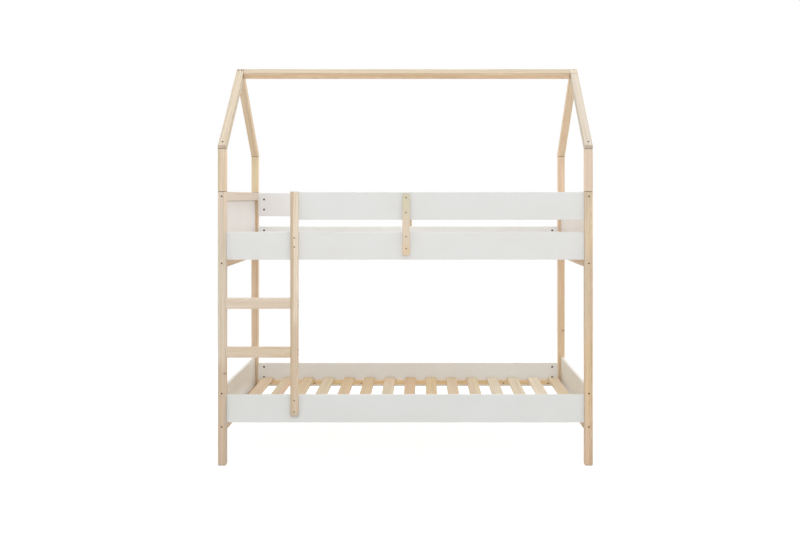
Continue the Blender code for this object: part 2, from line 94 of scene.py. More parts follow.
# Fasteners: each head's radius, how deep its top and bottom lie in the hole, and how deep its recess is
BOLT_RADIUS, BOLT_TOP, BOLT_BOTTOM, BOLT_RECESS = 0.0037, 0.0036, 0.0098, 0.0030
NUT_RADIUS, NUT_TOP, NUT_BOTTOM, NUT_RECESS = 0.0047, 0.0050, 0.0127, 0.0012
SCREW_RADIUS, SCREW_TOP, SCREW_BOTTOM, SCREW_RECESS = 0.0032, 0.0012, 0.0029, 0.0014
HEAD_CHAMFER = 0.0004
HEX_REACH, RUNG_HEX_REACH = 0.0021, 0.001575
SLOT_REACH, SLOT_HALF = 0.0040, 0.0007
CROSS_REACH, CROSS_HALF = 0.0020, 0.0006
PAN_RADIUS, PAN_RISE, PAN_FLAT, PAN_SHANK, PAN_LENGTH = 0.0040, 0.0020, 0.0022, 0.0020, 0.020
RUNG_SHANK, RUNG_FLAT, RUNG_RECESS = 0.00225, 0.0021, 0.0016
STAPLE_WIDTH, STAPLE_WIRE, STAPLE_LEG = 0.0120, 0.0009, 0.0035
RING_POINTS, DOME_STEPS = 36, 6
SHARP_FASTENER_EDGE = math.radians(35)

# Small things share a piece: like fasteners no further apart than this, and so many neighbouring slats
GROUP_REACH = 0.38
GROUP_SLATS = 3

# Where the fasteners sit on the pieces that they hold, as the drilled holes do
PANEL_BOLT_DROP = 0.027
NUT_INSET, NUT_HALF, RAIL_NUT_LIFT = 0.0385, 0.0335, 0.017
STILE_SCREW_RAIL_LIFTS = (0.0715, 0.1215)
STILE_SCREW_FOOT_LIFTS = (0.063, 0.1257)
BATTEN_SCREW_RAIL_LIFTS = (0.063, 0.129)
BATTEN_SCREW_GUARD_DROPS = (0.031, 0.113)
RAFTER_SCREW_INSET = 0.020
APEX_SCREW_DROP, APEX_SCREW_SPACING = 0.013, 0.021
LEDGER_SCREW_PLACES = (-0.920, -0.614, -0.307, 0.0, 0.307, 0.629, 0.920)

# Slatted bases
SLAT_COUNT = 15
SLAT_ROUNDING = 0.003
WEFT, WARP = 0.0022, 0.0016  # pitches of the webbing's threads

# Stage: the floor fades from its own white, with the shadow, to the background's from near to far
FLOOR_COLOUR = (0.90, 0.885, 0.86, 1)
FLOOR_SHOWN, FLOOR_GLOW = (0.25, 0.25, 0.25, 1), 0.86
FLOOR_NEAR, FLOOR_FAR, FLOOR_SIZE = 2.5, 5.0, 60
WORLD_COLOUR, WORLD_STRENGTH = (1.0, 0.985, 0.946, 1), 0.64


# Nodes

def put(tree, socket, value):
    if isinstance(value, bpy.types.NodeSocket):
        tree.links.new(value, socket)
    else:
        socket.default_value = value


def node(tree, kind, inputs, output=0, **settings):
    """Adds a shader node, sets or links its inputs, and returns one of its outputs."""
    made = tree.nodes.new("ShaderNode" + kind)
    for name, value in settings.items():
        setattr(made, name, value)
    for key, value in inputs.items():
        put(tree, made.inputs[key], value)
    return made.outputs[output]


def calc(tree, operation, *values):
    return node(tree, "Math", dict(enumerate(values)), operation=operation)


def times(tree, first, second):
    return calc(tree, "MULTIPLY", first, second)


def times_plus(tree, value, factor, more):
    return calc(tree, "MULTIPLY_ADD", value, factor, more)


def vector_calc(tree, operation, *values):
    output = "Value" if operation in ("DOT_PRODUCT", "LENGTH", "DISTANCE") else "Vector"
    return node(tree, "VectorMath", dict(enumerate(values)), output, operation=operation)


def split(tree, vector):
    """The three parts of a vector."""
    made = tree.nodes.new("ShaderNodeSeparateXYZ")
    put(tree, made.inputs[0], vector)
    return made.outputs


def object_place(tree):
    return node(tree, "TexCoord", {}, "Object")


def stretched(tree, place, scales, shift):
    """The place, scaled by its own number along each axis and shifted by the same number along all."""
    scaled = vector_calc(tree, "MULTIPLY", place, scales)
    moved = node(tree, "CombineXYZ", {0: shift, 1: shift, 2: shift})
    return vector_calc(tree, "ADD", scaled, moved)


def noise(tree, vector, detail=2.0, roughness=0.5):
    inputs = {"Vector": vector, "Scale": 1.0, "Detail": detail, "Roughness": roughness}
    return node(tree, "TexNoise", inputs, "Fac")


def line_noise(tree, value, detail=1.0):
    inputs = {"W": value, "Scale": 1.0, "Detail": detail}
    return node(tree, "TexNoise", inputs, "Fac", noise_dimensions="1D")


def spread(tree, value, low, high, to_low=0.0, to_high=1.0):
    """Turns smoothly from to_low to to_high as the value goes from low to high."""
    inputs = {"Value": value, "From Min": low, "From Max": high, "To Min": to_low, "To Max": to_high}
    return node(tree, "MapRange", inputs, "Result", interpolation_type="SMOOTHSTEP")


def blend(tree, share, first, second, mode="MIX"):
    """Mixes two colours. 0, 6 and 7 are the Mix node's factor and colours, and 2 is its colour output."""
    return node(tree, "Mix", {0: share, 6: first, 7: second}, 2, data_type="RGBA", blend_type=mode)


def ramp(tree, value, stops):
    """A ramp of grey levels through (place, level) stops."""
    made = tree.nodes.new("ShaderNodeValToRGB")
    points = made.color_ramp.elements
    points[0].position, points[1].position = stops[0][0], stops[-1][0]
    for place, level in stops[1:-1]:
        points.new(place)
    for point, (place, level) in zip(points, stops):
        point.color = (level, level, level, 1)
    put(tree, made.inputs[0], value)
    return made.outputs[0]


def shaded(tree, colour, shade):
    """The colour with each of its channels multiplied by one number."""
    return vector_calc(tree, "MULTIPLY", colour, node(tree, "CombineXYZ", {0: shade, 1: shade, 2: shade}))


def new_group(name, inputs, outputs):
    """A shader node group with these named sockets, and its inner input and output nodes."""
    tree = bpy.data.node_groups.new(name, "ShaderNodeTree")
    for label, kind in inputs:
        tree.interface.new_socket(label, in_out="INPUT", socket_type="NodeSocket" + kind)
    for label, kind in outputs:
        tree.interface.new_socket(label, in_out="OUTPUT", socket_type="NodeSocket" + kind)
    return tree, tree.nodes.new("NodeGroupInput").outputs, tree.nodes.new("NodeGroupOutput").inputs


def use_group(tree, group, inputs):
    made = tree.nodes.new("ShaderNodeGroup")
    made.node_tree = group
    for key, value in inputs.items():
        put(tree, made.inputs[key], value)
    return made.outputs


# Pine

def pith_place(tree, local, pith):
    """Along the grain, and to the side and up from the middle of the tree that the piece was sawn from."""
    along, side, up = split(tree, local)
    side_pith, up_pith, lean = split(tree, pith)
    side = calc(tree, "SUBTRACT", side, side_pith)
    up = calc(tree, "SUBTRACT", up, times_plus(tree, along, lean, up_pith))
    return along, side, up


def knot_group():
    """A branch that leaves the pith square to the grain: how it bends the rings, its wood and its rim."""
    tree, given, wanted = new_group(
        "pine_knot",
        (("Local", "Vector"), ("Pith", "Vector"), ("Place", "Float"), ("Turn", "Float"), ("Radius", "Float")),
        (("Bulge", "Float"), ("Wood", "Float"), ("Rim", "Float"), ("Rings", "Float")),
    )
    along, side, up = pith_place(tree, given["Local"], given["Pith"])
    cosine, sine = calc(tree, "COSINE", given["Turn"]), calc(tree, "SINE", given["Turn"])
    off = calc(tree, "SUBTRACT", times(tree, up, cosine), times(tree, side, sine))
    run = calc(tree, "SUBTRACT", along, given["Place"])
    wobble = noise(tree, stretched(tree, given["Local"], (160, 160, 160), 3.0))
    flat = node(tree, "CombineXYZ", {0: times(tree, run, 0.85), 1: off, 2: 0.0})
    distance = calc(tree, "DIVIDE", vector_calc(tree, "LENGTH", flat), given["Radius"])
    distance = calc(tree, "ADD", distance, times_plus(tree, wobble, 0.5, -0.25))
    squared = times(tree, distance, distance)
    falloff = calc(tree, "EXPONENT", times(tree, squared, -0.16))
    put(tree, wanted["Bulge"], times(tree, falloff, times(tree, given["Radius"], 1.4)))
    put(tree, wanted["Wood"], spread(tree, distance, 1.05, 0.85))
    near_rim = calc(tree, "ABSOLUTE", calc(tree, "SUBTRACT", distance, 1.0))
    put(tree, wanted["Rim"], spread(tree, near_rim, 0.22, 0.05))
    put(tree, wanted["Rings"], calc(tree, "FRACT", times(tree, distance, 4.0)))
    return tree


def ring_radius(tree, given):
    """Distance from the pith, swaying along the trunk and pushed out by knots, and 1 in the pith itself."""
    local, seed = given["Local"], given["Seed"]
    side, up = pith_place(tree, local, given["Pith"])[1:]
    sway = noise(tree, stretched(tree, local, (1.6, 5.0, 5.0), seed), 2.0)
    drift = noise(tree, stretched(tree, local, (7.0, 22.0, 22.0), seed), 2.0)
    radius = vector_calc(tree, "LENGTH", node(tree, "CombineXYZ", {0: side, 1: up, 2: 0.0}))
    heart = spread(tree, radius, 0.0056, 0.0030)
    figure = times(tree, given["Figure"], 0.050)
    radius = calc(tree, "ADD", radius, times(tree, calc(tree, "SUBTRACT", sway, 0.5), figure))
    radius = calc(tree, "ADD", radius, times_plus(tree, drift, 0.006, -0.003))
    return calc(tree, "SUBTRACT", radius, given["Bulge"]), heart


def late_wood(tree, given, radius):
    """The dark end of each year's ring. The years differ in width and in how dark they end."""
    uneven = line_noise(tree, times_plus(tree, radius, 90.0, given["Seed"]))
    years = calc(tree, "DIVIDE", radius, given["Ring Width"])
    years = calc(tree, "ADD", years, times(tree, uneven, 2.2))
    year = calc(tree, "FRACT", years)
    late = ramp(tree, year, ((0.0, 0.0), (0.35, 0.06), (0.80, 0.62), (0.93, 1.0), (1.0, 0.0)))
    strength = node(tree, "TexWhiteNoise", {"W": calc(tree, "FLOOR", years)}, "Value", noise_dimensions="1D")
    return times(tree, late, times_plus(tree, strength, 0.65, 0.35))


def warmth(tree, given, radius):
    """Warmer bands of years, and warmer clouds drawn out along the grain."""
    seed = given["Seed"]
    bands = line_noise(tree, times_plus(tree, radius, 110.0, calc(tree, "ADD", seed, 9.0)), 2.0)
    bands = spread(tree, bands, 0.40, 0.60)
    cloud = noise(tree, stretched(tree, given["Local"], (1.3, 40.0, 40.0), seed), 1.0)
    cloud = spread(tree, cloud, 0.36, 0.64)
    return times_plus(tree, cloud, 0.50, times(tree, bands, 0.50))


def grain_group():
    """Solid pine: growth rings round a pith, warmer bands of years, fibres and resin flecks."""
    tree, given, wanted = new_group(
        "pine_grain",
        (
            ("Local", "Vector"), ("Pith", "Vector"), ("Ring Width", "Float"), ("Seed", "Float"),
            ("Bulge", "Float"), ("Figure", "Float"), ("Contrast", "Float"),
        ),
        (("Colour", "Color"), ("Height", "Float"), ("Late Wood", "Float")),
    )
    local, seed = given["Local"], given["Seed"]
    radius, heart = ring_radius(tree, given)
    late = late_wood(tree, given, radius)
    fibre = noise(tree, stretched(tree, local, (12.0, 900.0, 900.0), seed), 3.0, 0.6)
    streak = noise(tree, stretched(tree, local, (1.4, 150.0, 150.0), seed), 3.0, 0.6)
    flecks = spread(tree, noise(tree, stretched(tree, local, (45.0, 1300.0, 1300.0), seed), 1.0), 0.70, 0.80)
    colour = blend(tree, warmth(tree, given, radius), EARLY, WARM)
    colour = blend(tree, times(tree, late, 0.75), colour, LATE)
    shade = times_plus(tree, fibre, 0.16, 0.92)
    swing = times(tree, calc(tree, "SUBTRACT", streak, 0.5), given["Contrast"])
    shade = times(tree, shade, times_plus(tree, swing, 0.42, 1.0))
    shade = calc(tree, "SUBTRACT", shade, times(tree, flecks, 0.10))
    shade = times(tree, shade, times_plus(tree, heart, -0.70, 1.0))
    put(tree, wanted["Colour"], shaded(tree, colour, shade))
    put(tree, wanted["Height"], calc(tree, "ADD", times(tree, late, 0.75), times(tree, fibre, 0.25)))
    put(tree, wanted["Late Wood"], late)
    return tree


GRAIN, KNOT = grain_group(), knot_group()


def local_place(tree, centre, along, side):
    """The point of the surface in the piece's own axes: along the grain, to its side, and up from both."""
    place = vector_calc(tree, "SUBTRACT", object_place(tree), centre)
    parts = [vector_calc(tree, "DOT_PRODUCT", place, axis) for axis in (along, side, along.cross(side))]
    return node(tree, "CombineXYZ", dict(enumerate(parts)))


def surface_of(name):
    """A new material with a Principled shader, and its node tree and that shader."""
    surface = bpy.data.materials.new(name)
    surface.use_nodes = True
    return surface, surface.node_tree, surface.node_tree.nodes["Principled BSDF"]


def bump(tree, shader, height, depth):
    made = node(tree, "Bump", {"Height": height, "Distance": depth, "Strength": 1.0})
    put(tree, shader.inputs["Normal"], made)


def linear(colour):
    """A colour as it looks, 0 to 255, as a linear colour."""
    shares = [value / 255 for value in colour]
    return (*(v / 12.92 if v <= 0.04045 else ((v + 0.055) / 1.055) ** 2.4 for v in shares), 1)


def wood(tint, pith, patches=(), knots=(), ring_width=0.0032, figure=0.7, contrast=1.0):
    """Settings of one piece of pine.

    pith is its tree's middle as (side, up, lean), and each knot (along, side, up, radius), where it shows.
    Each patch (axis, start, stop, tint) turns the tint into its own from start to stop on axis 0 along,
    1 side or 2 up.
    """
    return locals()


def patched_tint(tree, local, tint, patches):
    colour = linear(tint)
    if not patches:
        return colour
    wobble = noise(tree, stretched(tree, local, (5.0, 30.0, 30.0), 7.0))
    parts = split(tree, local)
    for axis, start, stop, other in patches:
        reach = abs(stop - start)
        place = times_plus(tree, wobble, 2 * reach, calc(tree, "SUBTRACT", parts[axis], reach))
        colour = blend(tree, spread(tree, place, start, stop), colour, linear(other))
    return colour


def shade_ends(tree, name, along, colour):
    """The colour of the wood with its ends, and painted shadow on the chamfers round them and in the joints
    between sticks.
    """
    normal = node(tree, "NewGeometry", {}, "True Normal")
    facing = calc(tree, "ABSOLUTE", vector_calc(tree, "DOT_PRODUCT", normal, along))
    rise = spread(tree, facing, 0.40, 0.60)
    if name.startswith("rafter"):
        square = spread(tree, facing, 0.80, 0.90)
        cut = blend(tree, square, PLUMB_CUT, SQUARE_CUT)
        colour = blend(tree, rise, colour, blend(tree, 1.0, colour, cut, "MULTIPLY"))
        # Painted shadow line in the apex joint
        colour = shaded(tree, colour, apex_shade(tree, name, square))
    else:
        # Painted shadow on the chamfers round the ends, as in the gap of a joint; the end grain itself is
        # darker in its own colour
        chamfer = times(tree, rise, spread(tree, facing, 0.95, 0.85))
        shade = spread(tree, facing, 0.80, 0.95, 1.0, 0.86)
        colour = shaded(tree, colour, times(tree, shade, times_plus(tree, chamfer, -0.6, 1.0)))
    # Painted shadow lines in the joints of the posts, roof posts and rafters
    if name.startswith(("post", "roof_post", "rafter")):
        colour = shaded(tree, colour, joint_shade(tree))
    # Painted contact shadow at the ridge beam's ends
    if name == "ridge_beam":
        colour = shaded(tree, colour, ridge_end_shade(tree))
    return colour


def joint_shade(tree):
    """Painted shadow: the dark line in the joint where a roof post stands on its post, and a rafter on its
    roof post.
    """
    height = split(tree, object_place(tree))[2]
    shade = 1.0
    for lower in ("post_front_left", "roof_post_front_left"):
        away = calc(tree, "ABSOLUTE", calc(tree, "SUBTRACT", height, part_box(lower)[1].z))
        line = spread(tree, away, JOINT_LINE, JOINT_LINE / 2)
        shade = times(tree, shade, times_plus(tree, line, JOINT_SHADE, 1.0))
    return shade


def apex_shade(tree, name, square):
    """Painted shadow: the dark line in the joint where one rafter of a gable ends at the underside of the
    other, which runs through.
    """
    side_name = name.split("_")[2]
    through = THROUGH[side_name]
    stopped, lean = ("back", -1.0) if through == "front" else ("front", 1.0)
    reach = min(abs(corner.y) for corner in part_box(f"rafter_{through}_{side_name}"))
    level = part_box(f"rafter_{stopped}_{side_name}")[1].z - reach
    depth, height = split(tree, object_place(tree))[1:]
    away = calc(tree, "SUBTRACT", times_plus(tree, depth, lean, height), level)
    line = spread(tree, calc(tree, "ABSOLUTE", away), 1.5 * JOINT_LINE, JOINT_LINE / 2)
    if through in name:
        line = times(tree, line, square)
    return times_plus(tree, line, JOINT_SHADE, 1.0)


def ridge_end_shade(tree):
    """Painted contact shadow at the ridge beam's ends, where they meet the rafters."""
    out = calc(tree, "ABSOLUTE", split(tree, object_place(tree))[0])
    inward = calc(tree, "SUBTRACT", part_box("ridge_beam")[1].x, out)
    return times_plus(tree, spread(tree, inward, *RIDGE_END_LINE), RIDGE_END_SHADE, 1.0)


def hole_marks(tree, name):
    """Where shade is painted: 1 on the walls of the holes drilled in this piece, and fading out over the edge
    round each.
    """
    place = object_place(tree)
    marks = 0.0
    for centre, outward, radius in HOLES.get(name, ()):
        away = vector_calc(tree, "SUBTRACT", place, centre)
        far = vector_calc(tree, "LENGTH", vector_calc(tree, "CROSS_PRODUCT", away, outward))
        near = spread(tree, far, radius + HOLE_EDGE, radius)
        height = vector_calc(tree, "DOT_PRODUCT", away, outward)
        near = times(tree, near, calc(tree, "GREATER_THAN", height, -HOLE_DEPTH))
        marks = calc(tree, "MAXIMUM", marks, near)
    return marks


def pine(name, centre, along, side, seed, settings):
    """Pine for one piece, in its own axes round its centre."""
    surface, tree, shader = surface_of(name)
    local = local_place(tree, centre, along, side)
    pith = settings["pith"]
    bulge, marks = 0.0, []
    for knot_along, knot_side, knot_up, radius in settings["knots"]:
        turn = math.atan2(knot_up - pith[1] - knot_along * pith[2], knot_side - pith[0])
        mark = use_group(
            tree, KNOT, {"Local": local, "Pith": pith, "Place": knot_along, "Turn": turn, "Radius": radius}
        )
        bulge = calc(tree, "ADD", bulge, mark["Bulge"])
        marks.append(mark)
    grain = use_group(
        tree,
        GRAIN,
        {
            "Local": local, "Pith": pith, "Ring Width": settings["ring_width"], "Seed": seed,
            "Bulge": bulge, "Figure": settings["figure"], "Contrast": settings["contrast"],
        },
    )
    tint = patched_tint(tree, local, settings["tint"], settings["patches"])
    colour = blend(tree, 1.0, grain["Colour"], tint, "MULTIPLY")
    colour = shade_ends(tree, name, along, colour)
    for mark in marks:
        ringed = times_plus(tree, mark["Rings"], 0.35, 0.55)
        colour = blend(tree, times(tree, mark["Wood"], ringed), colour, KNOT_WOOD)
        colour = blend(tree, times(tree, mark["Rim"], 0.65), colour, KNOT_RIM)
    # Painted shade in the drilled holes and round their edges
    if name in HOLES:
        colour = blend(tree, hole_marks(tree, name), colour, DRILLED_PINE)
    put(tree, shader.inputs["Base Color"], colour)
    put(tree, shader.inputs["Roughness"], times_plus(tree, grain["Late Wood"], -0.10, PINE_ROUGHNESS))
    bump(tree, shader, grain["Height"], 0.00020)
    return surface


# Other finishes

def white_lacquer(name, seed, tint):
    """Sprayed satin lacquer on board: a fine orange peel, hardly visible clouds, and near-black painted shade
    in the holes and round their edges.
    """
    surface, tree, shader = surface_of(name)
    place = object_place(tree)
    peel = noise(tree, stretched(tree, place, (420.0, 420.0, 420.0), seed), 2.0)
    waves = noise(tree, stretched(tree, place, (14.0, 60.0, 60.0), seed), 2.0)
    cloud = noise(tree, stretched(tree, place, (2.2, 5.0, 5.0), seed), 2.0)
    chips = noise(tree, stretched(tree, place, (700.0, 700.0, 700.0), seed), 2.0)
    core = hole_marks(tree, name)
    soft = (*(value * share for value, share in zip(tint, (0.985, 0.980, 0.975))), 1)
    lacquer = blend(tree, spread(tree, cloud, 0.35, 0.65), (*tint, 1), soft)
    # Near-black painted shade for the holes' walls and edges
    raw = blend(tree, chips, (0.020, 0.014, 0.009, 1), (0.070, 0.048, 0.031, 1))
    put(tree, shader.inputs["Base Color"], blend(tree, core, lacquer, raw))
    rough = times_plus(tree, cloud, 0.08, 0.38)
    put(tree, shader.inputs["Roughness"], calc(tree, "MAXIMUM", rough, times(tree, core, 0.9)))
    bump(tree, shader, calc(tree, "ADD", peel, waves), 0.00003)
    return surface


def woven_band(name):
    """Cream polyester webbing with its threads across and along."""
    surface, tree, shader = surface_of(name)
    place = object_place(tree)
    threads = []
    for part, pitch in zip(split(tree, place), (WEFT, WARP)):
        threads.append(calc(tree, "SINE", times(tree, part, 2 * math.pi / pitch)))
    weave = times_plus(tree, times(tree, *threads), 0.5, 0.5)
    fuzz = noise(tree, stretched(tree, place, (900.0, 900.0, 900.0), 0.0), 2.0)
    colour = blend(tree, weave, (0.56, 0.54, 0.49, 1), (0.80, 0.78, 0.72, 1))
    colour = blend(tree, times(tree, fuzz, 0.25), colour, (0.62, 0.60, 0.55, 1))
    put(tree, shader.inputs["Base Color"], colour)
    put(tree, shader.inputs["Roughness"], times_plus(tree, fuzz, 0.15, 0.75))
    bump(tree, shader, weave, 0.0003)
    return surface


def metal(name, colour, rough):
    """Plated steel with faint cloudy marks."""
    surface, tree, shader = surface_of(name)
    marks = noise(tree, stretched(tree, object_place(tree), (300.0, 300.0, 900.0), 0.0), 3.0)
    dull = (*(value * 0.7 for value in colour), 1)
    put(tree, shader.inputs["Base Color"], blend(tree, marks, (*colour, 1), dull))
    put(tree, shader.inputs["Roughness"], times_plus(tree, marks, 0.2, rough))
    shader.inputs["Metallic"].default_value = 1.0
    return surface


ZINC = metal("zinc_steel", (0.60, 0.59, 0.56), 0.25)
DARK_STEEL = metal("dark_steel", (0.045, 0.040, 0.036), 0.45)
YELLOW_ZINC = metal("yellow_zinc", (0.28, 0.215, 0.135), 0.40)
BAND = woven_band("woven_band")


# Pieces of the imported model

def middle_of(name):
    low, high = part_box(name)
    return (low + high) / 2


def face_of(name, axis, side):
    """Where a node ends along an axis, on its low side (-1) or its high side (1)."""
    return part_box(name)[side > 0][axis]


def dress(name, surface):
    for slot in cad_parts[name].material_slots:
        slot.material = surface


# A piece with the grain along Z or along a slope has its side along X, one along X has it along Y,
# and one along Y along Z, or along X if it is a slat. Left and low are on the minus side.
STICKS = {
    "post_front_left": wood(
        (212, 198, 180), (0.055, 0.04, 0.01), ring_width=0.0034, contrast=1.5,
        patches=(
            (1, -0.004, -0.016, (213, 206, 191)), (0, -0.14, -0.24, (202, 183, 164)),
            (0, 0.45, 0.6, (220, 205, 189)),
        ),
        knots=((-0.248, 0.016, -0.022, 0.0045),),
    ),
    "post_front_right": wood(
        (209, 190, 167), (0.012, 0.05, 0.004), ring_width=0.003, figure=0.5, contrast=2.3,
        patches=(
            (0, 0.4, 0.52, (216, 195, 168)), (0, 0.1, -0.1, (214, 190, 158)),
            (0, -0.46, -0.58, (210, 185, 160)),
        ),
    ),
    "post_back_left": wood((219, 197, 170), (0.045, 0.06, 0.008), ring_width=0.003, contrast=1.4),
    "post_back_right": wood(
        (228, 204, 177), (-0.06, 0.03, -0.008), knots=((-0.154, 0.011, -0.022, 0.0045),)
    ),
    "roof_post_front_left": wood(
        (224, 205, 183), (0.04, 0.05, 0.01), contrast=1.5, patches=((1, -0.01, -0.018, (214, 205, 185)),)
    ),
    "roof_post_front_right": wood((226, 207, 191), (-0.055, 0.03, 0.01), contrast=1.6),
    "roof_post_back_left": wood((227, 210, 178), (0.06, 0.02, 0.01)),
    "roof_post_back_right": wood((231, 207, 185), (-0.03, 0.06, 0.01)),
    "ladder_stile": wood(
        (231, 218, 202), (0.03, 0.045, 0.008), ring_width=0.0036,
        patches=(
            (0, 0.25, -0.25, (210, 191, 170)), (1, -0.001, -0.009, (202, 183, 159)),
            # The last patch, the stile's greyer foot, is painted shade on its rounded lower end
            (0, -0.6, -0.612, (190, 180, 168)),
        ),
    ),
    "guard_batten_front": wood(
        (224, 208, 189), (0.07, 0.02, 0.004), ring_width=0.0028,
        patches=((0, 0.02, 0.14, (216, 210, 188)), (0, -0.06, -0.16, (226, 202, 174))),
    ),
    "guard_batten_back": wood((216, 190, 162), (0.06, 0.03, 0.004)),
    "rafter_front_left": wood((197, 187, 168), (0.05, 0.04, 0.006), ring_width=0.0036, contrast=1.5),
    "rafter_front_right": wood((196, 188, 174), (-0.05, 0.045, 0.006)),
    "rafter_back_left": wood((211, 194, 169), (0.05, 0.04, 0.006)),
    "rafter_back_right": wood((219, 200, 175), (0.001, 0.0095, 0.0), figure=0.1),
    "ridge_beam": wood(
        # The patch gives the ridge's lower half its own warmer tint for the light under it: painted light and
        # shade
        (190, 178, 155), (0.05, 0.04, 0.004), patches=((2, 0.001, -0.003, (221, 198, 170)),), figure=1.0,
        contrast=1.4,
    ),
    "ladder_rung_upper": wood((219, 205, 189), (0.045, 0.03, 0.016)),
    "ladder_rung_lower": wood((213, 195, 173), (0.05, -0.02, 0.014), figure=0.9),
    "slat_ledger_lower_front": wood((218, 194, 160), (0.045, 0.03, 0.01)),
    "slat_ledger_lower_back": wood((235, 207, 165), (0.045, 0.03, 0.01)),
    "slat_ledger_upper_front": wood((214, 192, 160), (0.045, -0.03, 0.008)),
    "slat_ledger_upper_back": wood((214, 190, 156), (0.045, 0.03, 0.008)),
    "end_top_rail_left": wood((214, 205, 194), (0.05, 0.03, 0.01)),
    "end_top_rail_right": wood((219, 205, 184), (0.05, -0.03, 0.01)),
    "end_bottom_rail_upper_left": wood((212, 190, 160), (0.05, 0.03, 0.01)),
    "end_bottom_rail_upper_right": wood((214, 192, 164), (0.05, -0.03, 0.01)),
    "end_bottom_rail_lower_left": wood((208, 184, 154), (0.05, 0.03, 0.01)),
    "end_bottom_rail_lower_right": wood((210, 184, 156), (0.05, -0.03, 0.01)),
}
FLAME = (0.0, 0.024, 0.03)
SLATS = (
    wood((217, 197, 172), (0.06, 0.05, 0.01)),
    wood(
        (214, 199, 168), (-0.05, 0.04, 0.012), patches=((1, 0.004, 0.014, (220, 194, 170)),),
        knots=((0.386, 0.003, -0.009, 0.0035),),
    ),
    wood((211, 192, 161), (0.04, 0.06, 0.012), figure=1.0, knots=((0.33, 0.01, -0.009, 0.006),)),
    wood((209, 197, 172), (0.08, 0.03, 0.006)),
    wood((207, 185, 151), (-0.06, 0.045, 0.01)),
    wood((207, 186, 153), (0.06, 0.035, 0.01), figure=0.9),
    wood((208, 197, 172), (0.055, 0.04, 0.006), patches=((0, 0.16, 0.3, (216, 195, 170)),)),
    wood((206, 179, 146), (-0.07, 0.03, 0.008)),
    wood((210, 189, 152), FLAME, figure=1.8),
    wood((212, 194, 167), (0.06, 0.05, 0.008)),
    wood((208, 192, 167), (0.075, 0.03, 0.006), patches=((1, 0.002, 0.014, (217, 206, 176)),)),
    wood((219, 209, 190), (-0.07, 0.05, 0.006)),
    wood((220, 210, 188), (0.065, 0.045, 0.008)),
    wood((236, 226, 207), (-0.06, 0.05, 0.008)),
    wood((220, 204, 178), (0.05, 0.04, 0.012)),
)
RAFTER_SLOPE = math.radians(45)


def grain_axes(name):
    """Directions along the grain and to its side for a pine node."""
    if name.startswith("rafter"):
        face = -1 if "front" in name else 1
        return Vector((0, -face * math.cos(RAFTER_SLOPE), math.sin(RAFTER_SLOPE))), X
    if name.startswith(("post", "roof_post", "ladder_stile", "guard_batten")):
        return Z, X
    if name.startswith("end_"):
        return Y, Z
    return X, Y


def dress_pine():
    for count, (name, settings) in enumerate(STICKS.items()):
        along, side = grain_axes(name)
        dress(name, pine(name, middle_of(name), along, side, 3.7 * count + 1.0, settings))
    for count, settings in enumerate(SLATS, start=1):
        name = f"lower_slat_{count:02d}"
        dress(name, pine(name, middle_of(name), Y, X, 5.3 * count + 100.0, settings))


# White boards, as linear colours, with painted light and shade: each board listed here is written paler or
# darker than the plain white for the light that reaches it. The back ones are written paler, because less
# light reaches them
WHITE = (0.757, 0.754, 0.746)
BOARD_WHITES = {
    "guard_rail_back": (0.894, 0.900, 0.930),
    "side_rail_upper_back": (0.876, 0.903, 0.930),
    "side_rail_lower_front": (0.707, 0.719, 0.711),
    "side_rail_lower_back": (0.930, 0.930, 0.930),
    "end_panel_upper_left": (0.803, 0.812, 0.838),
    "end_panel_upper_right": (0.806, 0.791, 0.787),
    "end_panel_lower_left": (0.722, 0.701, 0.656),
    "end_panel_lower_right": (0.793, 0.777, 0.734),
}


def dress_white():
    boards = [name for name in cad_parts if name.startswith(("side_rail", "guard_rail", "end_panel"))]
    for count, name in enumerate(sorted(boards)):
        # A listed board's white carries painted light and shade
        dress(name, white_lacquer(name, 11.0 * count, BOARD_WHITES.get(name, WHITE)))


MERGE_DISTANCE, SHARP_EDGE = 0.00001, math.radians(40)


def smooth_group():
    """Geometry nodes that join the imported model's loose faces and shade them smooth but for sharp edges."""
    tree = bpy.data.node_groups.new("smooth_faces", "GeometryNodeTree")
    tree.interface.new_socket("Geometry", in_out="INPUT", socket_type="NodeSocketGeometry")
    tree.interface.new_socket("Geometry", in_out="OUTPUT", socket_type="NodeSocketGeometry")
    start, stop = tree.nodes.new("NodeGroupInput"), tree.nodes.new("NodeGroupOutput")
    merge = tree.nodes.new("GeometryNodeMergeByDistance")
    merge.inputs["Distance"].default_value = MERGE_DISTANCE
    angle = tree.nodes.new("GeometryNodeInputMeshEdgeAngle")
    over = tree.nodes.new("FunctionNodeCompare")
    over.operation = "GREATER_THAN"
    over.inputs[1].default_value = SHARP_EDGE
    normal = tree.nodes.new("GeometryNodeSetMeshNormal")
    normal.mode = "SHARPNESS"
    normal.inputs["Remove Custom"].default_value = True
    tree.links.new(start.outputs[0], merge.inputs["Geometry"])
    tree.links.new(merge.outputs[0], normal.inputs["Mesh"])
    tree.links.new(angle.outputs[0], over.inputs[0])
    tree.links.new(over.outputs[0], normal.inputs["Edge Sharpness"])
    tree.links.new(normal.outputs[0], stop.inputs[0])
    return tree


def smooth_nodes():
    """Round edges are shaded smooth, and the flat faces between them stay flat."""
    group = smooth_group()
    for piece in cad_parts.values():
        piece.modifiers.new("smooth", "NODES").node_group = group
        piece.modifiers.new("flat_faces", "WEIGHTED_NORMAL").keep_sharp = True


# Fasteners

def circle(radius):
    return lambda turn: radius


def hexagon(reach):
    """Distance to the side of a hexagon at each turn, reach being that of the middle of a side."""
    sixth = math.pi / 3
    return lambda turn: reach / math.cos((turn + sixth / 2) % sixth - sixth / 2)


def slot(reach, half):
    return lambda turn: min(reach, half / max(abs(math.sin(turn)), half / reach))


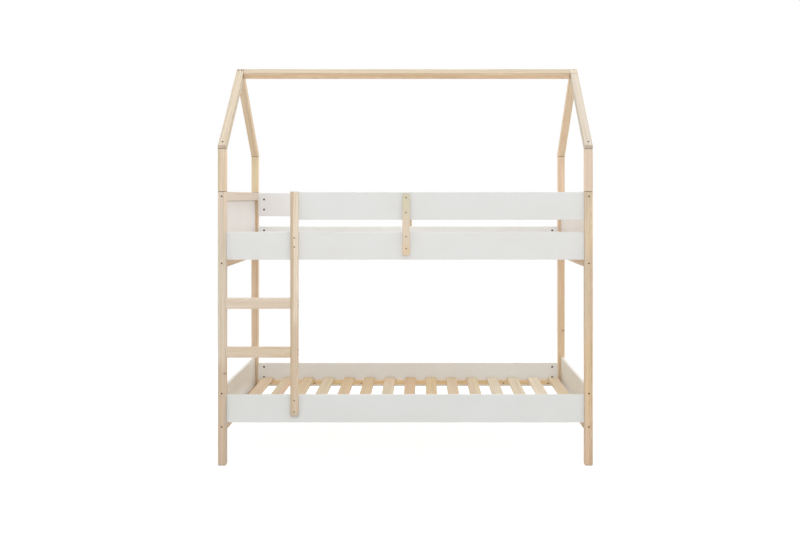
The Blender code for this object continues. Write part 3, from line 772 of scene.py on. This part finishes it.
def cross(reach, half):
    """Distance to the edge of a cross recess at each turn."""
    def edge(turn):
        narrow = min(abs(math.sin(turn)), abs(math.cos(turn)))
        return min(reach, half / max(narrow, half / reach))
    return edge


def dome_rings(radius, rise, shank, length, recess, flat, recess_depth):
    """A domed head that stands on the surface, with its shank below and a recess in its flat top."""
    stop = math.acos(flat / radius)
    turns = [stop * i / DOME_STEPS for i in range(1, DOME_STEPS + 1)]
    dome = [(circle(radius * math.cos(turn)), rise * math.sin(turn) / math.sin(stop)) for turn in turns]
    return (
        (circle(shank), -length), (circle(shank), 0), (circle(radius), 0),
        *dome, (recess, rise), (recess, rise - recess_depth),
    )


def add_turned(shape, matrix, rings):
    """Adds a closed body of rings, each (outline, height) from the buried end up and into the recess."""
    points = []
    for outline, height in rings:
        ring = []
        for i in range(RING_POINTS):
            turn = 2 * math.pi * i / RING_POINTS
            reach = outline(turn)
            place = Vector((reach * math.cos(turn), reach * math.sin(turn), height))
            ring.append(shape.verts.new(matrix @ place))
        points.append(ring)
    for low, high in zip(points, points[1:]):
        for i in range(RING_POINTS):
            shape.faces.new((low[i - 1], low[i], high[i], high[i - 1]))
    shape.faces.new(reversed(points[0]))
    shape.faces.new(points[-1])


def head_rings(radius, top, bottom, recess, recess_depth):
    """A flat head from bottom to top, both measured down from the surface, with a recess in its top."""
    return (
        (circle(radius), -bottom),
        (circle(radius), -top - HEAD_CHAMFER),
        (circle(radius - HEAD_CHAMFER), -top),
        (recess, -top),
        (recess, -top - recess_depth),
    )


CROSS = cross(CROSS_REACH, CROSS_HALF)
BOLT = head_rings(BOLT_RADIUS, BOLT_TOP, BOLT_BOTTOM, hexagon(HEX_REACH), BOLT_RECESS)
NUT = head_rings(NUT_RADIUS, NUT_TOP, NUT_BOTTOM, slot(SLOT_REACH, SLOT_HALF), NUT_RECESS)
SCREW = head_rings(SCREW_RADIUS, SCREW_TOP, SCREW_BOTTOM, CROSS, SCREW_RECESS)
PAN_SCREW = dome_rings(PAN_RADIUS, PAN_RISE, PAN_SHANK, PAN_LENGTH, CROSS, PAN_FLAT, SCREW_RECESS)


def standing(place, outward, turn):
    """The matrix that puts a fastener at this place with its head facing outward."""
    matrix = Vector(outward).to_track_quat("Z", "Y").to_matrix().to_4x4() @ Matrix.Rotation(turn, 4, "Z")
    matrix.translation = Vector(place)
    return matrix


def add_piece(name, shape, surfaces, slot_name):
    """Turns a bmesh into a piece of the bed with these surfaces. The slot name is not used."""
    mesh = bpy.data.meshes.new(name)
    bmesh.ops.recalc_face_normals(shape, faces=shape.faces)
    shape.to_mesh(mesh)
    shape.free()
    mesh.shade_smooth()
    mesh.set_sharp_from_angle(angle=SHARP_FASTENER_EDGE)
    for surface in surfaces:
        mesh.materials.append(surface)
    piece = bpy.data.objects.new(name, mesh)
    bpy.context.scene.collection.objects.link(piece)
    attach(piece, "root")
    return piece


def in_groups(places):
    """The fasteners' places in order along the axis that they spread over most, in groups along it."""
    columns = list(zip(*(place for place, outward, turn in places)))
    longest = max(range(3), key=lambda axis: max(columns[axis]) - min(columns[axis]))
    groups = []
    for item in sorted(places, key=lambda item: item[0][longest]):
        if groups and item[0][longest] - groups[-1][0][0][longest] < GROUP_REACH:
            groups[-1].append(item)
        else:
            groups.append([item])
    return groups


def add_fasteners(name, kind, surface, places, holder=None, hole=0.0):
    """Pieces of like fasteners, each fastener given by its place, outward direction and turn.

    Those that sit in holes of one piece, the holder, are noted with how far out the holes' painted shade
    reaches.
    """
    groups, pieces = in_groups(places), []
    for count, group in enumerate(groups, start=1):
        shape = bmesh.new()
        for place, outward, turn in group:
            add_turned(shape, standing(place, outward, turn), kind)
            if holder:
                HOLES.setdefault(holder, []).append((Vector(place), Vector(outward), hole))
        label = f"{name}_{count}" if len(groups) > 1 else name
        pieces.append(add_piece(label, shape, [surface], "screw_steel"))
    return pieces


def nut_heights(board):
    """Heights of a board's pair of barrel nuts. A side rail's pair is raised over the ledger."""
    middle = middle_of(board).z
    if board.startswith("side_rail"):
        middle += RAIL_NUT_LIFT
    return middle + NUT_HALF, middle - NUT_HALF


def add_bolts():
    """Bolt heads in each main post: four from its front or back face, and two for each board."""
    for side_name, side in SIDES:
        panel_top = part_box(f"end_panel_lower_{side_name}")[1].z
        ends = [middle_of(f"{rail}_{side_name}").z for rail in
                ("end_top_rail", "end_bottom_rail_upper", "end_bottom_rail_lower")]
        ends.append(panel_top - PANEL_BOLT_DROP)
        for face_name, face in FACES:
            post = f"post_{face_name}_{side_name}"
            middle_x, outer_x, outer_y = middle_of(post).x, face_of(post, 0, side), face_of(post, 1, face)
            places = [((middle_x, outer_y, height), Y * face, 0.4 * height) for height in ends]
            boards = [f"side_rail_lower_{face_name}", f"side_rail_upper_{face_name}"]
            if post != "post_front_left":
                boards.append(f"guard_rail_{face_name}")
            for board in boards:
                for height in nut_heights(board):
                    places.append(((outer_x, middle_of(board).y, height), X * side, 0.7 * height))
            add_fasteners(f"bolts_{post}", BOLT, DARK_STEEL, places, post, BOLT_HOLE)


def add_nuts():
    """Barrel nuts in the inner faces of the long boards."""
    for face_name, face in FACES:
        for board in ("side_rail_lower", "side_rail_upper", "guard_rail"):
            board = f"{board}_{face_name}"
            inner_y = face_of(board, 1, -face)
            columns = [face_of(board, 0, 1) - NUT_INSET]
            if board != "guard_rail_front":
                columns.append(face_of(board, 0, -1) + NUT_INSET)
            places = [((x, inner_y, z), -Y * face, 0.0) for x in columns for z in nut_heights(board)]
            add_fasteners(f"barrel_nuts_{board}", NUT, DARK_STEEL, places, board, NUT_HOLE)


def add_board_screws():
    """Countersunk screws through the stile and the battens into the boards behind them."""
    rail, foot = (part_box(f"side_rail_{bunk}_front")[0].z for bunk in ("upper", "lower"))
    heights = [rail + lift for lift in STILE_SCREW_RAIL_LIFTS]
    heights += [foot + lift for lift in STILE_SCREW_FOOT_LIFTS]
    stile_x, stile_front = middle_of("ladder_stile").x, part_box("ladder_stile")[0].y
    places = [((stile_x, stile_front, height), -Y, 9 * height) for height in heights]
    add_fasteners("screws_ladder_stile", SCREW, YELLOW_ZINC, places, "ladder_stile", SCREW_HOLE)
    for face_name, face in FACES:
        batten = f"guard_batten_{face_name}"
        outer_y = face_of(batten, 1, face)
        rail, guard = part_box(f"side_rail_upper_{face_name}")[0].z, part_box(f"guard_rail_{face_name}")[1].z
        heights = [rail + lift for lift in BATTEN_SCREW_RAIL_LIFTS]
        heights += [guard - drop for drop in BATTEN_SCREW_GUARD_DROPS]
        places = [((middle_of(batten).x, outer_y, height), Y * face, 7 * height) for height in heights]
        add_fasteners(f"screws_{batten}", SCREW, YELLOW_ZINC, places, batten, SCREW_HOLE)


def add_roof_fasteners():
    """A screw down through each rafter's foot, two more where it runs over the other, and ridge bolts."""
    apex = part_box("rafter_front_left")[1].z
    for side_name, side in SIDES:
        middle_x = middle_of(f"rafter_front_{side_name}").x
        for face_name, face in FACES:
            rafter = f"rafter_{face_name}_{side_name}"
            outward, slope = Vector((0, face, 1)).normalized(), Vector((0, -face, 1)).normalized()
            away = max(abs(corner.y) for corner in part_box(rafter)) - RAFTER_SCREW_INSET
            places = [((middle_x, face * away, apex - away), outward, side)]
            if face_name == THROUGH[side_name]:
                top = Vector((middle_x, 0, apex)) - slope * APEX_SCREW_DROP
                places += [(top + X * turn * APEX_SCREW_SPACING / 2, outward, turn) for turn in (-1, 1)]
            add_fasteners(f"screws_{rafter}", SCREW, DARK_STEEL, places, rafter, ROOF_SCREW_HOLE)
        holder = f"rafter_{THROUGH[side_name]}_{side_name}"
        places = [((face_of(holder, 0, side), 0, middle_of("ridge_beam").z), X * side, 0.3)]
        add_fasteners(f"ridge_bolt_{side_name}", BOLT, DARK_STEEL, places, holder, BOLT_HOLE)


def add_ledger_screws():
    """Pan-head screws through each ledger into its side rail."""
    for face_name, face in FACES:
        for bunk in ("lower", "upper"):
            ledger = f"slat_ledger_{bunk}_{face_name}"
            inner_y, middle = face_of(ledger, 1, -face), middle_of(ledger).z
            places = [((x, inner_y, middle), -Y * face, 9.0 * x) for x in LEDGER_SCREW_PLACES]
            add_fasteners(f"screws_{ledger}", PAN_SCREW, DARK_STEEL, places)


def add_rung_screws():
    """Domed socket screws through the stile into the ends of the rungs, in place of the plain ones."""
    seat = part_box("ladder_stile")[1].x
    for rung in ("upper", "lower"):
        for height in ("high", "low"):
            name = f"rung_screw_{rung}_{height}"
            low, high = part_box(name)
            kind = dome_rings(
                (high.y - low.y) / 2, high.x - seat, RUNG_SHANK, seat - low.x,
                hexagon(RUNG_HEX_REACH), RUNG_FLAT, RUNG_RECESS,
            )
            middle = (low + high) / 2
            place = (seat, middle.y, middle.z)
            for piece in add_fasteners(f"{name}_socket", kind, ZINC, [(place, X, 20 * middle.z)]):
                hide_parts(name)


def staple(shape, place):
    """Adds a wire staple that goes up into a slat through the band whose lower face it lies on."""
    half, wire = STAPLE_WIDTH / 2, STAPLE_WIRE
    outline = (
        (-half, STAPLE_LEG), (-half, -wire), (half, -wire), (half, STAPLE_LEG),
        (half - wire, STAPLE_LEG), (half - wire, 0), (wire - half, 0), (wire - half, STAPLE_LEG),
    )
    loops = []
    for x in (-wire / 2, wire / 2):
        loops.append([shape.verts.new(place + Vector((x, y, z))) for y, z in outline])
    back, front = loops
    for i in range(len(outline)):
        shape.faces.new((back[i - 1], back[i], front[i], front[i - 1]))
    for loop in loops:
        for corners in ((0, 1, 6, 7), (1, 2, 5, 6), (2, 3, 4, 5)):
            shape.faces.new([loop[i] for i in corners])


def add_staples(name, slats, band):
    """The staples that hold a band under the slats, one for each slat."""
    low, high = band
    for count, first in enumerate(range(0, len(slats), GROUP_SLATS), start=1):
        shape = bmesh.new()
        for slat_low, slat_high in slats[first:first + GROUP_SLATS]:
            staple(shape, Vector(((slat_low.x + slat_high.x) / 2, (low.y + high.y) / 2, low.z)))
        add_piece(f"{name}_{count}", shape, [ZINC], "screw_steel")


# Slatted bases

def lower_slats():
    return [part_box(f"lower_slat_{count:02d}") for count in range(1, SLAT_COUNT + 1)]


def finish_lower_base():
    """The lower bunk's bands get their weave and staples. Its slats are dressed with the other pine."""
    for face_name, _ in FACES:
        band = f"lower_slat_webbing_{face_name}"
        dress(band, BAND)
        add_staples(f"staples_{band}", lower_slats(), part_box(band))


def box_corners(shape, low, high):
    """Adds a box to a shape and returns its corners."""
    corners = bmesh.ops.create_cube(shape, size=1)["verts"]
    middle = (low + high) / 2
    for corner in corners:
        corner.co = Vector(middle[i] + corner.co[i] * (high[i] - low[i]) for i in range(3))
    return corners


def add_slats(name, slats, surfaces):
    """A few neighbouring slats with rounded long edges, each with its own surface."""
    shape = bmesh.new()
    for count, (low, high) in enumerate(slats):
        before = set(shape.faces)
        corners = box_corners(shape, low, high)
        edges = dict.fromkeys(edge for corner in corners for edge in corner.link_edges)
        long_edges = [edge for edge in edges if edge.calc_length() > (high - low).y / 2]
        bmesh.ops.bevel(
            shape, geom=long_edges, offset=SLAT_ROUNDING, segments=5, profile=0.5, affect="EDGES"
        )
        for face in shape.faces:
            if face not in before:
                face.material_index = count
    return add_piece(name, shape, surfaces, "slat_pine")


def add_band(name, low, high):
    """A flat strip of webbing with thin rounded sides."""
    shape = bmesh.new()
    box_corners(shape, low, high)
    long_edges = [edge for edge in shape.edges if edge.calc_length() > (high - low).x / 2]
    bmesh.ops.bevel(shape, geom=long_edges, offset=(high - low).z / 3, segments=2, affect="EDGES")
    return add_piece(name, shape, [BAND], "webbing")


def add_upper_base():
    """The upper bunk's slats and bands, like the lower bunk's, in place of the one solid."""
    base_low, base_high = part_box("upper_slat_base")
    slats, surfaces, pieces = [], [], []
    for count, (low, high) in enumerate(lower_slats(), start=1):
        bottom = base_high.z - (high.z - low.z)
        low, high = Vector((low.x, low.y, bottom)), Vector((high.x, high.y, base_high.z))
        slats.append((low, high))
        settings = SLATS[(count * 4) % SLAT_COUNT]
        middle, grain = (low + high) / 2, 200.0 + 4.1 * count
        surfaces.append(pine(f"upper_slat_{count:02d}", middle, Y, X, grain, settings))
    for count, first in enumerate(range(0, len(slats), GROUP_SLATS), start=1):
        some = slice(first, first + GROUP_SLATS)
        pieces.append(add_slats(f"upper_slats_{count}", slats[some], surfaces[some]))
    for face_name, _ in FACES:
        low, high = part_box(f"lower_slat_webbing_{face_name}")
        low, high = Vector((low.x, low.y, base_low.z)), Vector((high.x, high.y, bottom))
        name = f"upper_slat_webbing_{face_name}"
        pieces.append(add_band(name, low, high))
        add_staples(f"staples_{name}", slats, (low, high))
    for piece in pieces:
        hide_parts("upper_slat_base")


# Stage, light and camera

def seen_rays(tree):
    """1 for the rays that show a thing itself: the camera's, and those in metal and glass."""
    path = tree.nodes.new("ShaderNodeLightPath").outputs
    seen = calc(tree, "MAXIMUM", path["Is Camera Ray"], path["Is Glossy Ray"])
    return calc(tree, "MAXIMUM", seen, path["Is Transmission Ray"])


def add_floor():
    """A white floor that shows as the background, with the bed's own soft shadow."""
    bpy.ops.mesh.primitive_plane_add(size=FLOOR_SIZE, location=(0, 0, 0))
    floor = bpy.context.object
    floor.name = "floor"
    surface, tree, shader = surface_of("floor_white")
    shader.inputs["Base Color"].default_value = FLOOR_COLOUR
    shader.inputs["Roughness"].default_value = 1.0
    soft = node(tree, "BsdfDiffuse", {"Color": FLOOR_SHOWN})
    glow = node(tree, "Emission", {"Color": (1, 1, 1, 1), "Strength": FLOOR_GLOW})
    shown = node(tree, "AddShader", {0: soft, 1: glow})
    far = spread(tree, vector_calc(tree, "LENGTH", object_place(tree)), FLOOR_NEAR, FLOOR_FAR)
    white = node(tree, "Emission", {"Color": (1, 1, 1, 1), "Strength": 1.0})
    near_far = node(tree, "MixShader", {0: far, 1: shown, 2: white})
    mixed = node(tree, "MixShader", {0: seen_rays(tree), 1: shader.outputs[0], 2: near_far})
    put(tree, tree.nodes["Material Output"].inputs["Surface"], mixed)
    floor.data.materials.append(surface)


def add_world():
    """Even light from all round, which shows as plain white."""
    world = bpy.data.worlds.new("studio")
    bpy.context.scene.world = world
    world.use_nodes = True
    tree = world.node_tree
    fill = node(tree, "Background", {"Color": WORLD_COLOUR, "Strength": WORLD_STRENGTH})
    white = node(tree, "Background", {"Color": (1, 1, 1, 1), "Strength": 1.0})
    mixed = node(tree, "MixShader", {0: seen_rays(tree), 1: fill, 2: white})
    put(tree, tree.nodes["World Output"].inputs["Surface"], mixed)


def add_lamp(name, place, aim, size, power, colour):
    lamp = bpy.data.lights.new(name, "AREA")
    lamp.shape = "RECTANGLE"
    lamp.size, lamp.size_y = size
    lamp.energy = power
    lamp.color = colour
    holder = bpy.data.objects.new(name, lamp)
    holder.location = place
    holder.rotation_mode = "QUATERNION"
    holder.rotation_quaternion = (Vector(aim) - Vector(place)).to_track_quat("-Z", "Y")
    holder.visible_camera = False
    holder.visible_glossy = False
    bpy.context.scene.collection.objects.link(holder)


def add_lights():
    """Soft lamps from the front, from above and from both sides."""
    add_lamp("front", (0, -11.0, 9.0), (0, 0, 1.1), (6.0, 4.0), 295, (0.66, 0.89, 1.0))
    add_lamp("top", (0, -0.5, 9.0), (0, 0, 1.0), (6.0, 6.0), 480, (1.0, 0.926, 0.963))
    add_lamp("left", (-12.0, 2.0, 3.7), (0, 0.4, 1.1), (4.0, 6.0), 281, (1.0, 0.942, 0.808))
    add_lamp("right", (12.0, 2.0, 3.7), (0, 0.4, 1.1), (4.0, 6.0), 484, (1.0, 0.968, 0.903))


def add_camera():
    """The photograph's camera: level, and shifted so that its axis meets the frame off the middle."""
    camera = bpy.data.objects.new("camera", bpy.data.cameras.new("camera"))
    bpy.context.scene.collection.objects.link(camera)
    lens = camera.data
    lens.sensor_width = SENSOR_WIDTH
    lens.lens = SENSOR_WIDTH * FOCAL_PIXELS / PHOTO_WIDTH
    lens.shift_x = (PHOTO_WIDTH / 2 - VANISHING_COLUMN) / PHOTO_WIDTH
    lens.shift_y = (HORIZON_ROW - PHOTO_HEIGHT / 2) / PHOTO_WIDTH
    front = CAD_BOX[0].y
    camera.location = (CAMERA_X, front - FOCAL_PIXELS * METRES_PER_PIXEL, CAMERA_HEIGHT)
    camera.rotation_euler = (math.radians(90), 0, 0)
    bpy.context.scene.camera = camera


# The fasteners come before the finishes, which need the places of the holes
add_bolts()
add_nuts()
add_board_screws()
add_roof_fasteners()
add_ledger_screws()
add_rung_screws()
dress_pine()
dress_white()
finish_lower_base()
smooth_nodes()
add_upper_base()
add_floor()
add_world()
add_lights()
add_camera()
bpy.context.scene.view_settings.view_transform = "Standard"
